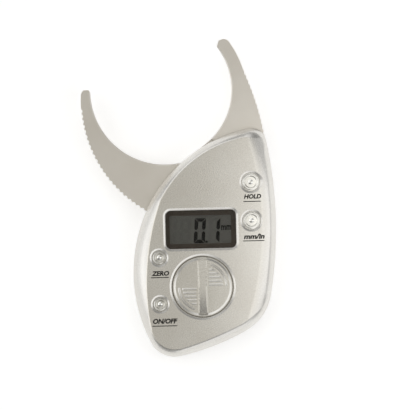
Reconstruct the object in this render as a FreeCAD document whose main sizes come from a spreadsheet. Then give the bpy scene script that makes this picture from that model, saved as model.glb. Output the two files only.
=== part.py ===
"""Digital skinfold caliper, lying on its back.

Millimetres. The origin is on the jaws' pivot axis at the flat back, +Z points out of the display face,
+Y to the jaws' tips and +X to the fixed jaw's side. The jaws are drawn wide open, as they stand at rest.
"""
import FreeCAD, Part
import math
import os

import Sketcher
from FreeCAD import Placement, Rotation, Vector

doc = FreeCAD.newDocument("skinfold_caliper")
UP = Vector(0, 0, 1)

# ---------------------------------------------------------------- driving sizes

SIZES = {
    # housing outline: four corner circles, joined by four wide tangent arcs
    "shell_chin_x": -13.6, "shell_chin_y": -55.4, "shell_chin_r": 12.3,
    "shell_heel_x": 8.0, "shell_heel_y": -36.2, "shell_heel_r": 23.2,
    "shell_apex_x": 23.4, "shell_apex_y": 28.8, "shell_apex_r": 7.0,
    "shell_shoulder_x": -4.2, "shell_shoulder_y": -4.8, "shell_shoulder_r": 20.5,
    "shell_base_r": 110.4, "shell_flank_r": 189.2, "shell_crown_r": 67.0, "shell_belly_r": 69.8,
    # outline of the flat face, laid out in the same way
    "face_chin_x": -13.2, "face_chin_y": -53.2, "face_chin_r": 11.2,
    "face_heel_x": 11.0, "face_heel_y": -40.8, "face_heel_r": 14.0,
    "face_apex_x": 20.6, "face_apex_y": 26.9, "face_apex_r": 4.7,
    "face_shoulder_x": -13.6, "face_shoulder_y": 1.7, "face_shoulder_r": 5.4,
    "face_base_r": 166.6, "face_flank_r": 133.5, "face_crown_r": 53.5, "face_belly_r": 113.5,
    # heights of the housing
    "seam_z": 8.0, "band_z": 12.0, "face_z": 17.5, "wall": 2.0,
    "bulge_rise": 0.6, "bulge_share": 0.36, "vault_share": 0.55, "back_round": 3.0,
    # rounded crest between face and band, and the soft roll of the face towards the right flank
    "crest_round": 1.0, "roll_w": 2.6, "roll_r": 9.0, "roll_angle": 60.0,
    # sloped lips round the window, the buttons and the cap
    "lip_rise": 0.4, "lip_w": 0.3, "lip_slope": 0.75, "lip_bevel": 0.25,
    # jaws and their roots
    "jaw_low_z": 5.4, "root_plate": 2.5, "washer_t": 0.3, "run_gap": 0.05, "slot_gap": 0.45,
    "lap_r": 31.3, "lap_gap": 0.3, "hub_r": 8.8, "closing": 49.3, "jaw_bevel": 0.5,
    "thumb_edge_r": 58.2, "thumb_edge_dir": 35.8,
    "mouth_r": 34.05, "root_x": 14.7, "root_y": 17.2,
    "land_low_x": 8.54, "land_low_y": 72.65, "land_top_x": 8.92, "land_top_y": 73.89,
    "tip_top_x": 7.4, "tip_top_y": 75.6, "tip_out_x": 4.9, "tip_out_y": 75.2,
    "notch_pitch": 2.38, "notch_r": 0.85, "notch_depth": 0.6, "notch_count": 26, "notch_start": 134.5,
    "fixed_mouth_r": 31.9, "fixed_root_x": 0.9, "fixed_root_y": 27.9,
    "anvil_low_x": 8.78, "anvil_low_y": 73.29, "anvil_top_x": 9.62, "anvil_top_y": 76.02,
    "fixed_tip_x": 11.3, "fixed_tip_y": 76.75, "fixed_tip_r": 3.4,
    "fixed_brow_x": 14.9, "fixed_brow_y": 74.7, "fixed_brow_r": 44.1,
    "fixed_back_x": 20.4, "fixed_back_y": 63.0, "fixed_back_r": 126.2,
    "fixed_notch_depth": 0.4, "fixed_notch_count": 13,
    "hip_x": 30.7, "hip_y": 24.0, "tail_x": 27.2, "tail_low_x": 23.0, "tail_low_y": 4.0,
    "fit_gap": 0.2, "slot_end_dir": 185.5,
    # pivot
    "pivot_r": 2.5, "pivot_head_r": 3.9, "pivot_head_t": 0.65, "thread_r": 1.5,
    "bush_wall": 1.0, "insert_wall": 1.1, "pivot_boss_r": 4.6, "pivot_boss_z": 4.9, "washer_r": 6.5,
    "rotor_in_r": 4.3, "rotor_t": 0.45, "rotor_inset": 0.2,
    # opening spring, its peg on the moving jaw and its post in the back cover
    "peg_arm": 13.0, "peg_dir": 45.0, "peg_r": 1.1, "peg_low_z": 4.1, "peg_play": 0.3,
    "wire_r": 0.4, "coil_gap": 0.6, "coil_pitch": 0.82, "coil_turns": 2.75, "leg_length": 14.0,
    "spring_post_r": 1.2, "spring_post_z": 3.6, "post_reach": 11.0,
    # display
    "window_x": -0.5, "window_y": -9.75, "window_w": 32.1, "window_d": 17.4, "window_r": 2.5,
    "view_w": 29.4, "view_d": 14.2, "lens_t": 1.2, "lens_sink": 0.3, "glue_gap": 0.1,
    "lcd_w": 30.6, "lcd_d": 15.8, "lcd_t": 1.6, "lcd_gap": 0.2,
    "frame_w": 1.3, "strip_w": 1.6, "strip_inset": 0.5,
    # circuit board
    "board_z": 11.6, "board_t": 1.2, "board_inset": 4.2, "board_gap": 0.5,
    "chip_x": -1.5, "chip_y": 12.0, "chip_r": 4.2, "chip_edge_t": 0.4, "chip_dome": 0.7,
    "switch_w": 4.5, "switch_t": 1.2, "switch_bore_r": 1.1, "switch_bore_depth": 0.9,
    # buttons
    "hold_x": 22.6, "hold_y": 11.2, "unit_x": 22.6, "unit_y": -6.3, "big_key_r": 3.75,
    "zero_x": -19.8, "zero_y": -22.2, "power_x": -19.8, "power_y": -43.4, "small_key_r": 2.9,
    "key_gap": 0.3, "key_rise": 0.8, "flange_w": 0.5, "flange_t": 0.85,
    "key_edge": 0.4, "rim_w": 0.45, "dish_depth": 0.45, "key_dome_r": 1.1,
    "key_dome_rise": 0.36, "stem_r": 0.9,
    "stem_dip": 0.25,
    # battery bay, cap, cell and contacts
    "cap_x": -0.3, "cap_y": -35.9, "cap_r": 13.7, "cap_ring": 0.3, "cap_gap": 0.1, "cap_rise": 0.4,
    "cap_seat_z": 15.9, "cap_edge": 0.35, "cap_rim_w": 0.2, "cap_dish_r": 12.3, "cap_dish": 0.45,
    "skirt_r": 11.85, "skirt_wall": 1.25, "skirt_z": 13.2, "bay_gap": 0.15, "lug_w": 1.25,
    "lug_z": 13.3, "lug_t": 1.2, "lug_dir": 90.0, "lug_half_angle": 15.0, "cap_turn": 60.0, "lug_play": 1.0,
    "ledge_z": 14.7, "groove_z": 13.1,
    "bay_wall": 2.0, "bay_low_z": 10.4, "bay_floor_z": 11.3,
    "bar_w": 4.6, "bar_crown_w": 2.6, "bar_l": 24.0, "bar_end_z": 18.7, "bar_top_z": 20.0,
    "rib_w": 1.2, "rib_t": 0.25, "rib_slope": 0.45, "rib_pitch": 1.7, "rib_first": 0.3, "rib_reach": 9.4,
    "rib_gap": 0.3, "ridge_r": 10.2, "ridge_w": 1.2, "ridge_dir": 35.0, "ridge_half_angle": 34.0,
    "cell_r": 10.0, "cell_t": 3.2, "cell_base_r": 8.8, "cell_base_t": 0.3, "pocket_gap": 0.4,
    "strip_t": 0.3, "strip_wide": 3.0, "contact_bump": 0.2, "bump_r": 1.0,
    "contact_reach": 18.2, "tab_t": 0.25,
    # screws
    "case_boss_r": 2.75, "boss_root": 0.4, "case_screw_r": 1.1, "case_screw_top_z": 13.4,
    "case_head_r": 2.0, "case_head_z": 0.5, "case_head_t": 1.4,
    "screw_gap": 0.15, "head_gap": 0.2, "drive_r": 0.8, "drive_depth": 0.6,
    "screw_apex_x": 22.5, "screw_apex_y": 25.0, "screw_right_x": 26.3, "screw_right_y": -27.0,
    "screw_chin_x": -14.5, "screw_chin_y": -57.0, "screw_left_x": -24.6, "screw_left_y": -31.5,
    "board_boss_r": 2.2, "board_screw_r": 0.8, "board_head_r": 1.6, "board_head_t": 0.8,
    "board_screw_l": 1.8,
    "board_right_x": 24.3, "board_right_y": 2.5, "board_left_x": -19.3, "board_left_y": -32.6,
    "board_heel_x": 16.5, "board_heel_y": -48.5,
    "jaw_boss_r": 2.6, "jaw_screw_r": 1.0, "jaw_head_r": 2.2, "jaw_head_t": 1.15, "jaw_screw_low_z": 2.6,
    "jaw_screw_a_x": 15.5, "jaw_screw_a_y": 19.5, "jaw_screw_b_x": 17.0, "jaw_screw_b_y": 7.0,
}


def fill_sheet(sizes):
    """One row per size: its name, and its value in a cell with that name as alias."""
    table = doc.addObject("Spreadsheet::Sheet", "dims")
    for row, (name, number) in enumerate(sizes.items(), start=1):
        table.set("A%d" % row, name)
        table.set("B%d" % row, str(number))
        table.setAlias("B%d" % row, name)
    doc.recompute()
    return table


sheet = fill_sheet(SIZES)

# Heights that several pieces share, as expressions of the sheet's cells.
FIXED_TOP = "(dims.jaw_low_z + dims.root_plate)"
MOVING_LOW = "(dims.jaw_low_z + dims.root_plate + dims.washer_t + dims.run_gap)"
JAW_TOP = "(dims.jaw_low_z + 2 * dims.root_plate + dims.washer_t + dims.run_gap)"
SLOT_TOP = "(dims.jaw_low_z + 2 * dims.root_plate + dims.washer_t + dims.run_gap + dims.slot_gap)"
CEILING = "(dims.face_z - dims.wall)"
BOARD_TOP = "(dims.board_z + dims.board_t)"
LIP_TOP = "(dims.face_z + dims.lip_rise)"
CAP_TOP = "(dims.face_z + dims.cap_rise)"
LENS_SEAT = "(dims.face_z - dims.lens_sink - dims.lens_t)"
LCD_TOP = "(dims.face_z - dims.wall - dims.lcd_gap)"
CELL_LOW = "(dims.bay_floor_z + dims.strip_t + dims.contact_bump)"
SPRING_LOW = "(dims.wall + dims.wire_r + dims.run_gap)"
BAY_BORE = "(dims.skirt_r + dims.bay_gap)"
BAY_INSIDE = "(dims.skirt_r - dims.bay_gap)"
GROOVE_R = "(dims.skirt_r + dims.lug_w + dims.cap_gap)"
POCKET_R = "(dims.cell_r + dims.pocket_gap)"
CAP_BORE = "(dims.cap_r + dims.cap_ring)"
BAY_R = "(dims.skirt_r + dims.lug_w + dims.cap_gap + dims.bay_wall)"

OUTSIDE = "(dims.shell_flank_r / 3)"  # a distance that is well outside the housing on every side
HALF_TURN = "1.0001"  # keeps the bend of a half-turn arc a hair above half its chord

CORNERS = ("chin", "heel", "apex", "shoulder")
SIDES = ("base", "flank", "crown", "belly")
CASE_SCREWS = ("apex", "right", "chin", "left")
BOARD_SCREWS = ("right", "left", "heel")
JAW_SCREWS = ("a", "b")
KEYS = {"hold": "big", "unit": "big", "zero": "small", "power": "small"}

# ---------------------------------------------------------------- sketch helpers


def value(expression):
    """The number that an expression of the sheet's cells comes to."""
    result = sheet.evalExpression(expression)
    return float(getattr(result, "Value", result))


def new_body(name):
    body = doc.addObject("PartDesign::Body", name)
    body.Label = name
    return body


def origin_plane(body, role):
    return next(part for part in body.Origin.OriginFeatures if part.Role == role)


def sketch_at(body, name, height, role="XY_Plane"):
    """A sketch on one of the body's own planes, raised along the plane's normal by height."""
    sketch = body.newObject("Sketcher::SketchObject", body.Name + "_" + name)
    sketch.AttachmentSupport = [(origin_plane(body, role), "")]
    sketch.MapMode = "FlatFace"
    if height is not None:
        sketch.setExpression("AttachmentOffset.Base.z", height)
    return sketch


def bind(sketch, constraint, expression):
    number = sketch.addConstraint(constraint)
    sketch.setExpression("Constraints[%d]" % number, expression)


def pin_point(sketch, edge, end, x, y):
    bind(sketch, Sketcher.Constraint("DistanceX", -1, 1, edge, end, value(x)), x)
    bind(sketch, Sketcher.Constraint("DistanceY", -1, 1, edge, end, value(y)), y)


def add_circle(sketch, x, y, radius):
    centre = Vector(value(x), value(y), 0)
    edge = sketch.addGeometry(Part.Circle(centre, UP, value(radius)))
    pin_point(sketch, edge, 3, x, y)
    bind(sketch, Sketcher.Constraint("Radius", edge, value(radius)), radius)


def add_arc(sketch, centre, radius, start, end):
    """An arc about centre, counter-clockwise from the point start to the point end."""
    first = math.atan2(start.y - centre.y, start.x - centre.x)
    last = math.atan2(end.y - centre.y, end.x - centre.x)
    return sketch.addGeometry(Part.ArcOfCircle(Part.Circle(centre, UP, radius), first, last))


def bend_centre(start, end, bend):
    """Centre of the shorter arc from start to end: a positive bend turns left, a negative one right."""
    chord = end - start
    rise = math.sqrt(bend * bend - chord.Length * chord.Length / 4)
    left = Vector(-chord.y, chord.x, 0) / chord.Length
    return (start + end) / 2 + left * math.copysign(rise, bend)


def trace(sketch, corners):
    """A closed outline through corners (x, y, bend of the edge that follows, None where it is straight)."""
    places = [Vector(value(x), value(y), 0) for x, y, _ in corners]
    ends = []
    for index, (_, _, bend) in enumerate(corners):
        start = places[index]
        end = places[(index + 1) % len(places)]
        if bend is None:
            edge = sketch.addGeometry(Part.LineSegment(start, end))
            ends.append((edge, 1, 2))
            continue
        centre = bend_centre(start, end, value(bend))
        radius = abs(value(bend))
        if value(bend) > 0:
            edge = add_arc(sketch, centre, radius, start, end)
            ends.append((edge, 1, 2))
        else:
            edge = add_arc(sketch, centre, radius, end, start)
            ends.append((edge, 2, 1))
        bind(sketch, Sketcher.Constraint("Radius", edge, radius), "abs(%s)" % bend)
    for index, (x, y, _) in enumerate(corners):
        edge, first, _ = ends[index]
        before, _, last = ends[index - 1]
        sketch.addConstraint(Sketcher.Constraint("Coincident", before, last, edge, first))
        pin_point(sketch, edge, first, x, y)


def add_box(sketch, x, y, width, depth):
    """A rectangle about the centre (x, y)."""
    left, right = "%s - %s / 2" % (x, width), "%s + %s / 2" % (x, width)
    low, high = "%s - %s / 2" % (y, depth), "%s + %s / 2" % (y, depth)
    trace(sketch, [(left, low, None), (right, low, None), (right, high, None), (left, high, None)])


def add_round_box(sketch, x, y, width, depth, radius):
    """A rectangle about the centre (x, y) with rounded corners."""
    left, right = "(%s - (%s) / 2)" % (x, width), "(%s + (%s) / 2)" % (x, width)
    low, high = "(%s - (%s) / 2)" % (y, depth), "(%s + (%s) / 2)" % (y, depth)
    r = "(%s)" % radius
    trace(sketch, [
        (left + "+" + r, low, None), (right + "-" + r, low, r),
        (right, low + "+" + r, None), (right, high + "-" + r, r),
        (right + "-" + r, high, None), (left + "+" + r, high, r),
        (left, high + "-" + r, None), (left, low + "+" + r, r),
    ])


def mixed(name, share):
    """An outline size between the housing's (share 0) and the face's (share 1)."""
    return "((1 - %s) * dims.shell_%s + %s * dims.face_%s)" % (share, name, share, name)


def tangent_centre(first, second, first_r, second_r, side_r):
    """Centre of the wide arc that encloses two corner circles and touches both."""
    reach_first, reach_second = side_r - first_r, side_r - second_r
    span = (second - first).Length
    along = (reach_first ** 2 - reach_second ** 2 + span ** 2) / (2 * span)
    across = math.sqrt(reach_first ** 2 - along ** 2)
    ahead = (second - first) / span
    return first + ahead * along + Vector(-ahead.y, ahead.x, 0) * across


def add_outline(sketch, share="0", inset="0"):
    """The drop-shaped outline: corner circles and wide arcs, tangent all round, moved in by inset."""
    spots, corner_r, side_r = [], [], []
    for corner, side in zip(CORNERS, SIDES):
        spots.append((mixed(corner + "_x", share), mixed(corner + "_y", share)))
        corner_r.append("%s - %s" % (mixed(corner + "_r", share), inset))
        side_r.append("%s - %s" % (mixed(side + "_r", share), inset))
    count = len(CORNERS)
    middles = [Vector(value(x), value(y), 0) for x, y in spots]
    centres = []
    for i in range(count):
        j = (i + 1) % count
        reach = value(corner_r[i]), value(corner_r[j]), value(side_r[i])
        centres.append(tangent_centre(middles[i], middles[j], *reach))

    def touch(i, side):
        away = middles[i] - centres[side]
        return middles[i] + away / away.Length * value(corner_r[i])

    edges = []
    for i in range(count):
        j = (i + 1) % count
        corner = add_arc(sketch, middles[i], value(corner_r[i]), touch(i, i - 1), touch(i, i))
        side = add_arc(sketch, centres[i], value(side_r[i]), touch(i, i), touch(j, i))
        edges += [corner, side]
    for i, edge in enumerate(edges):
        sketch.addConstraint(Sketcher.Constraint("Tangent", edge, 2, edges[(i + 1) % len(edges)], 1))
        radius = (corner_r if i % 2 == 0 else side_r)[i // 2]
        bind(sketch, Sketcher.Constraint("Radius", edge, value(radius)), radius)
        if i % 2 == 0:
            pin_point(sketch, edge, 3, *spots[i // 2])


# ---------------------------------------------------------------- feature helpers


def pad(body, name, sketch, length):
    feature = body.newObject("PartDesign::Pad", body.Name + "_" + name)
    feature.Profile = sketch
    feature.setExpression("Length", length)
    return feature


def cut(body, name, sketch, length, upward=False):
    """A pocket below the sketch's plane, or above it when upward."""
    feature = body.newObject("PartDesign::Pocket", body.Name + "_" + name)
    feature.Profile = sketch
    feature.setExpression("Length", length)
    feature.Reversed = upward
    return feature


def pad_between(body, name, low, high, draw):
    """Pad from the height low to the height high; draw puts the outline into the sketch."""
    sketch = sketch_at(body, name + "_sketch", low)
    draw(sketch)
    return pad(body, name, sketch, "%s - %s" % (high, low))


def cut_between(body, name, low, high, draw):
    """Pocket from the height high down to the height low."""
    sketch = sketch_at(body, name + "_sketch", high)
    draw(sketch)
    return cut(body, name, sketch, "%s - %s" % (high, low))


def loft(body, name, kind, sections):
    feature = body.newObject("PartDesign::" + kind, body.Name + "_" + name)
    feature.Profile = sections[0]
    feature.Sections = sections[1:]
    return feature


def revolve(body, name, draw):
    """A full turn about +Z of an outline in the XZ plane, drawn as (radius, height)."""
    sketch = sketch_at(body, name + "_sketch", None, "XZ_Plane")
    draw(sketch)
    feature = body.newObject("PartDesign::Revolution", body.Name + "_" + name)
    feature.Profile = sketch
    feature.ReferenceAxis = (sketch, ["V_Axis"])
    feature.Angle = 360
    return feature


def place(body, x, y):
    body.setExpression("Placement.Base.x", x)
    body.setExpression("Placement.Base.y", y)


def edges_where(feature, test):
    """Names of the feature's edges that pass the test."""
    return ["Edge%d" % (i + 1) for i, edge in enumerate(feature.Shape.Edges) if test(edge)]


def dress(body, name, kind, feature, size, test):
    """Round or chamfer the feature's edges that pass the test."""
    doc.recompute()
    names = edges_where(feature, test)
    if not names:
        raise RuntimeError("no edge found for " + body.Name + "_" + name)
    dressed = body.newObject("PartDesign::" + kind, body.Name + "_" + name)
    dressed.Base = (feature, names)
    dressed.setExpression("Radius" if kind == "Fillet" else "Size", size)
    return dressed


def flat_at(edge, height):
    return abs(edge.BoundBox.ZMin - height) < 0.001 and abs(edge.BoundBox.ZMax - height) < 0.001


def polar(radius, angle):
    """A point at radius and angle (degrees, counter-clockwise from +X), as two expressions."""
    return "(%s) * cos(%s)" % (radius, angle), "(%s) * sin(%s)" % (radius, angle)


def dome_bend(radius, rise):
    """Radius of the ball whose cap has this radius at its foot and this rise."""
    return "(%s ^ 2 + %s ^ 2) / (2 * %s)" % (radius, rise, rise)


def tangent_point(x, y, radius, turn):
    """Where a line from (x, y) touches a circle about the origin, to the left (+) or right (-)."""
    angle = "(atan2(%s; %s) %s acos(%s / sqrt(%s ^ 2 + %s ^ 2)))" % (y, x, turn, radius, x, y)
    return polar(radius, angle)


def add_screw_circles(sketch, group, names, radius):
    for name in names:
        add_circle(sketch, "dims.%s_%s_x" % (group, name), "dims.%s_%s_y" % (group, name), radius)


# ---------------------------------------------------------------- housing


def add_window(sketch, margin):
    add_round_box(sketch, "dims.window_x", "dims.window_y", "dims.window_w + 2 * (%s)" % margin,
                  "dims.window_d + 2 * (%s)" % margin, "dims.window_r + (%s)" % margin)


def add_key_circles(sketch, extra):
    for key, kind in KEYS.items():
        add_circle(sketch, "dims.%s_x" % key, "dims.%s_y" % key, "dims.%s_key_r + %s" % (kind, extra))


def add_jaw_slot(sketch):
    """The stretch of side wall that the jaws pass, from the open jaw's thumb edge to the fixed jaw's hip."""
    end_x, end_y = polar(OUTSIDE, "dims.slot_end_dir")
    hip = "dims.hip_y - dims.fit_gap"
    trace(sketch, [
        ("0", "0", None), ("dims.root_x", hip, None), (OUTSIDE, hip, None),
        (OUTSIDE, OUTSIDE, None), ("-" + OUTSIDE, OUTSIDE, None), (end_x, end_y, None),
    ])


def outline_at(body, name, height, share, inset="0"):
    sketch = sketch_at(body, name, height)
    add_outline(sketch, share, inset)
    return sketch


def make_front_cover():
    """Upper half of the housing: flat face, bulging side band, battery bay, lips, bosses and openings."""
    body = new_body("front_cover")
    pad_between(body, "skirt", "dims.seam_z", "dims.band_z", add_outline)
    waist_z = "dims.band_z + dims.bulge_rise * (dims.face_z - dims.band_z)"
    band = loft(body, "band", "AdditiveLoft", [
        outline_at(body, "foot", "dims.band_z", "0"),
        outline_at(body, "waist", waist_z, "dims.bulge_share"),
        outline_at(body, "crest", "dims.face_z", "1"),
    ])
    dress(body, "crest_round", "Fillet", band, "dims.crest_round", lambda e: flat_at(e, value("dims.face_z")))
    cut_flank_roll(body)
    half_wall = "(dims.face_z - dims.wall / 2)"
    foot, reach = "(dims.face_z - dims.lip_rise)", "dims.lip_w + 2 * dims.lip_slope"
    for name, draw in (("window_lip", add_window), ("round_lips", add_round_openings)):
        lip = pad_between(body, name, foot, LIP_TOP, lambda s, d=draw: d(s, reach))
        lip.setExpression("TaperAngle", "-atan(dims.lip_slope / dims.lip_rise)")
    cut_between(body, "hollow", "dims.seam_z", "dims.band_z", lambda s: add_outline(s, "0", "dims.wall"))
    loft(body, "vault", "SubtractiveLoft", [
        outline_at(body, "vault_foot", "dims.band_z", "0", "dims.wall"),
        outline_at(body, "vault_crest", CEILING, "dims.vault_share", "dims.wall"),
    ])
    cut_between(body, "jaw_slot", "dims.seam_z", SLOT_TOP, add_jaw_slot)
    pad_between(body, "bay", "dims.bay_low_z", half_wall,
                lambda s: add_circle(s, "dims.cap_x", "dims.cap_y", BAY_R))
    boss_top = "(%s + dims.boss_root)" % CEILING
    pad_between(body, "case_bosses", "dims.seam_z", boss_top,
                lambda s: add_screw_circles(s, "screw", CASE_SCREWS[1:], "dims.case_boss_r"))
    pad_between(body, "apex_boss", JAW_TOP, boss_top,
                lambda s: add_screw_circles(s, "screw", CASE_SCREWS[:1], "dims.case_boss_r"))
    pad_between(body, "board_bosses", BOARD_TOP, boss_top,
                lambda s: add_screw_circles(s, "board", BOARD_SCREWS, "dims.board_boss_r"))
    for name, draw in (("window_bevel", add_window), ("round_bevels", add_round_openings)):
        bevel = cut_between(body, name, "(%s - dims.lip_bevel)" % LIP_TOP, LIP_TOP,
                            lambda s, d=draw: d(s, "dims.lip_bevel"))
        bevel.setExpression("TaperAngle", "-45")
    cut_bay(body)
    cut_between(body, "window", LENS_SEAT, LIP_TOP, lambda s: add_window(s, "0"))
    cut_between(body, "view", CEILING, LENS_SEAT, add_view)
    cut_between(body, "key_holes", CEILING, LIP_TOP, lambda s: add_key_circles(s, "dims.key_gap"))
    cut_between(body, "case_pilots", "dims.seam_z", "dims.case_screw_top_z",
                lambda s: add_screw_circles(s, "screw", CASE_SCREWS, "dims.case_screw_r"))
    cut_between(body, "board_pilots", BOARD_TOP, "(%s + dims.board_screw_l)" % BOARD_TOP,
                lambda s: add_screw_circles(s, "board", BOARD_SCREWS, "dims.board_screw_r"))


def cut_flank_roll(body):
    """The face rolls over softly along its right flank: an arc turned about the flank's own centre."""
    corners = [Vector(value("dims.face_%s_x" % c), value("dims.face_%s_y" % c), 0) for c in ("heel", "apex")]
    flank = value("dims.face_flank_r")
    centre = tangent_centre(*corners, value("dims.face_heel_r"), value("dims.face_apex_r"), flank)
    sketch = sketch_at(body, "flank_roll_sketch", None, "XZ_Plane")
    sketch.AttachmentOffset = Placement(Vector(centre.x, 0, -centre.y), Rotation())
    start, over = "(dims.face_flank_r - dims.roll_w)", "(dims.face_z + dims.roll_w)"
    end_r, end_z = polar("dims.roll_r", "90 - dims.roll_angle")
    end = "(%s + %s)" % (start, end_r)
    trace(sketch, [
        (start, "dims.face_z", "-dims.roll_r"), (end, "(dims.face_z - dims.roll_r + %s)" % end_z, None),
        (end, over, None), (start, over, None),
    ])
    groove = body.newObject("PartDesign::Groove", body.Name + "_flank_roll")
    groove.Profile = sketch
    groove.ReferenceAxis = (sketch, ["V_Axis"])
    groove.setExpression("Angle", "dims.roll_angle")
    groove.Midplane = True


def add_round_openings(sketch, extra):
    add_key_circles(sketch, "dims.key_gap + " + extra)
    add_circle(sketch, "dims.cap_x", "dims.cap_y", CAP_BORE + " + " + extra)


def add_view(sketch):
    add_box(sketch, "dims.window_x", "dims.window_y", "dims.view_w", "dims.view_d")


def cut_bay(body):
    """The stepped bore of the battery bay, the ways of the cap's lugs and the slots for the contacts."""
    steps = [
        ("cap_seat", "dims.cap_seat_z", LIP_TOP, CAP_BORE),
        ("bay_bore", "dims.groove_z", "dims.cap_seat_z", BAY_BORE),
        ("cell_pocket", "dims.bay_floor_z", "dims.groove_z", POCKET_R),
    ]
    for name, low, high, radius in steps:
        cut_between(body, name, low, high, lambda s, r=radius: add_circle(s, "dims.cap_x", "dims.cap_y", r))
    cut_between(body, "lug_ways", "dims.groove_z", "dims.ledge_z", add_lug_ways)
    cut_between(body, "entries", "dims.ledge_z", "dims.cap_seat_z", add_entries)
    slot_top = "(dims.bay_floor_z + dims.strip_t + dims.bay_gap)"
    span, middle = "(dims.strip_wide + 2 * dims.bay_gap)", "dims.contact_reach / 2"
    cut_between(body, "spring_slot", "dims.bay_floor_z", slot_top,
                lambda s: add_box(s, "dims.cap_x", "(dims.cap_y + %s)" % middle, span, "dims.contact_reach"))
    cut_between(body, "side_slot", "dims.bay_floor_z", slot_top,
                lambda s: add_box(s, "(dims.cap_x - %s)" % middle, "dims.cap_y", "dims.contact_reach", span))


def add_sector(sketch, x, y, inner, outer, direction, half):
    """A piece of a ring about (x, y), half degrees to each side of direction."""
    corners = []
    plan = [(inner, "-", None), (outer, "-", outer), (outer, "+", None), (inner, "+", "-" + inner)]
    for radius, side, bend in plan:
        dx, dy = polar(radius, "%s %s %s" % (direction, side, half))
        corners.append(("%s + %s" % (x, dx), "%s + %s" % (y, dy), bend))
    trace(sketch, corners)


def add_lug_ways(sketch):
    """Under the ledge the lugs travel from the locked place to the entries; solid stops end the ways."""
    half = "(dims.cap_turn / 2 + dims.lug_half_angle + dims.lug_play)"
    for opposite in ("", " + 180"):
        middle = "(dims.lug_dir + dims.cap_turn / 2%s)" % opposite
        add_sector(sketch, "dims.cap_x", "dims.cap_y", BAY_INSIDE, GROOVE_R, middle, half)


def add_entries(sketch):
    half = "(dims.lug_half_angle + dims.lug_play)"
    for opposite in ("", " + 180"):
        middle = "(dims.lug_dir + dims.cap_turn%s)" % opposite
        add_sector(sketch, "dims.cap_x", "dims.cap_y", BAY_INSIDE, GROOVE_R, middle, half)


def make_back_cover():
    """Lower half of the housing: rounded flat back, bosses, the fixed jaw's seat and the pivot's boss."""
    body = new_body("back_cover")
    block = pad_between(body, "block", "0", "dims.seam_z", add_outline)
    dress(body, "round", "Fillet", block, "dims.back_round", lambda e: flat_at(e, 0))
    cut_between(body, "hollow", "dims.wall", "dims.seam_z", lambda s: add_outline(s, "0", "dims.wall"))
    half_floor = "dims.wall / 2"
    pad_between(body, "case_bosses", half_floor, "dims.seam_z",
                lambda s: add_screw_circles(s, "screw", CASE_SCREWS, "dims.case_boss_r"))
    pad_between(body, "jaw_bosses", half_floor, "dims.jaw_low_z",
                lambda s: add_screw_circles(s, "jaw_screw", JAW_SCREWS, "dims.jaw_boss_r"))
    pad_between(body, "pivot_boss", half_floor, "dims.pivot_boss_z",
                lambda s: add_circle(s, "0", "0", "dims.pivot_boss_r"))
    pad_between(body, "spring_post", half_floor, "dims.spring_post_z",
                lambda s: add_circle(s, *spring_post_spot(), "dims.spring_post_r"))
    cut_between(body, "jaw_seat", "dims.jaw_low_z", "dims.seam_z", add_jaw_seat)
    cut_between(body, "insert_bore", "(dims.wall + dims.fit_gap)", "dims.pivot_boss_z",
                lambda s: add_circle(s, "0", "0", "(dims.thread_r + dims.insert_wall)"))
    cut_between(body, "case_holes", "0", "dims.seam_z",
                lambda s: add_screw_circles(s, "screw", CASE_SCREWS, "dims.case_screw_r + dims.screw_gap"))
    cut_between(body, "head_wells", "0", "(dims.case_head_z + dims.case_head_t)",
                lambda s: add_screw_circles(s, "screw", CASE_SCREWS, "dims.case_head_r + dims.head_gap"))
    cut_between(body, "jaw_pilots", "dims.wall", "dims.jaw_low_z",
                lambda s: add_screw_circles(s, "jaw_screw", JAW_SCREWS, "dims.jaw_screw_r"))


def add_jaw_seat(sketch):
    """Room in the rim for the fixed jaw: its mouth edge and its hip, each with a small gap."""
    left_x, left_y = tangent_point("dims.fixed_root_x", "dims.fixed_root_y", "dims.hub_r", "+")
    hip = "dims.hip_y - dims.fit_gap"
    trace(sketch, [
        (left_x + " - dims.fit_gap", left_y, None), ("dims.tail_x", "dims.tail_low_y", None),
        ("dims.tail_x", hip, None), (OUTSIDE, hip, None), (OUTSIDE, "dims.anvil_low_y", None),
        ("dims.anvil_low_x - dims.fit_gap", "dims.anvil_low_y", "-dims.fixed_mouth_r"),
        ("dims.fixed_root_x - dims.fit_gap", "dims.fixed_root_y", None),
    ])


# ---------------------------------------------------------------- jaws


def notch_cutter(body, name, start, end, bend, depth, count, first_angle, low, high):
    """Scallops along the arc from start to end, as a polar pattern about the arc's own centre."""
    centre = bend_centre(start, end, value(bend))
    sketch = sketch_at(body, name + "_sketch", high)
    sketch.AttachmentOffset = Placement(Vector(centre.x, centre.y, 0), Rotation())
    sketch.setExpression("AttachmentOffset.Base.z", high)
    reach = "(abs(%s) + dims.notch_r - %s)" % (bend, depth)
    add_circle(sketch, *polar(reach, first_angle), "dims.notch_r")
    first = cut(body, name, sketch, "%s - %s" % (high, low))
    pattern = body.newObject("PartDesign::PolarPattern", body.Name + "_" + name + "_row")
    pattern.Originals = [first]
    pattern.Axis = (sketch, ["N_Axis"])
    pattern.setExpression("Angle", "(%s - 1) * dims.notch_pitch / abs(%s) * 180 / pi" % (count, bend))
    pattern.setExpression("Occurrences", count)
    body.Tip = pattern
    return pattern


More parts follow.
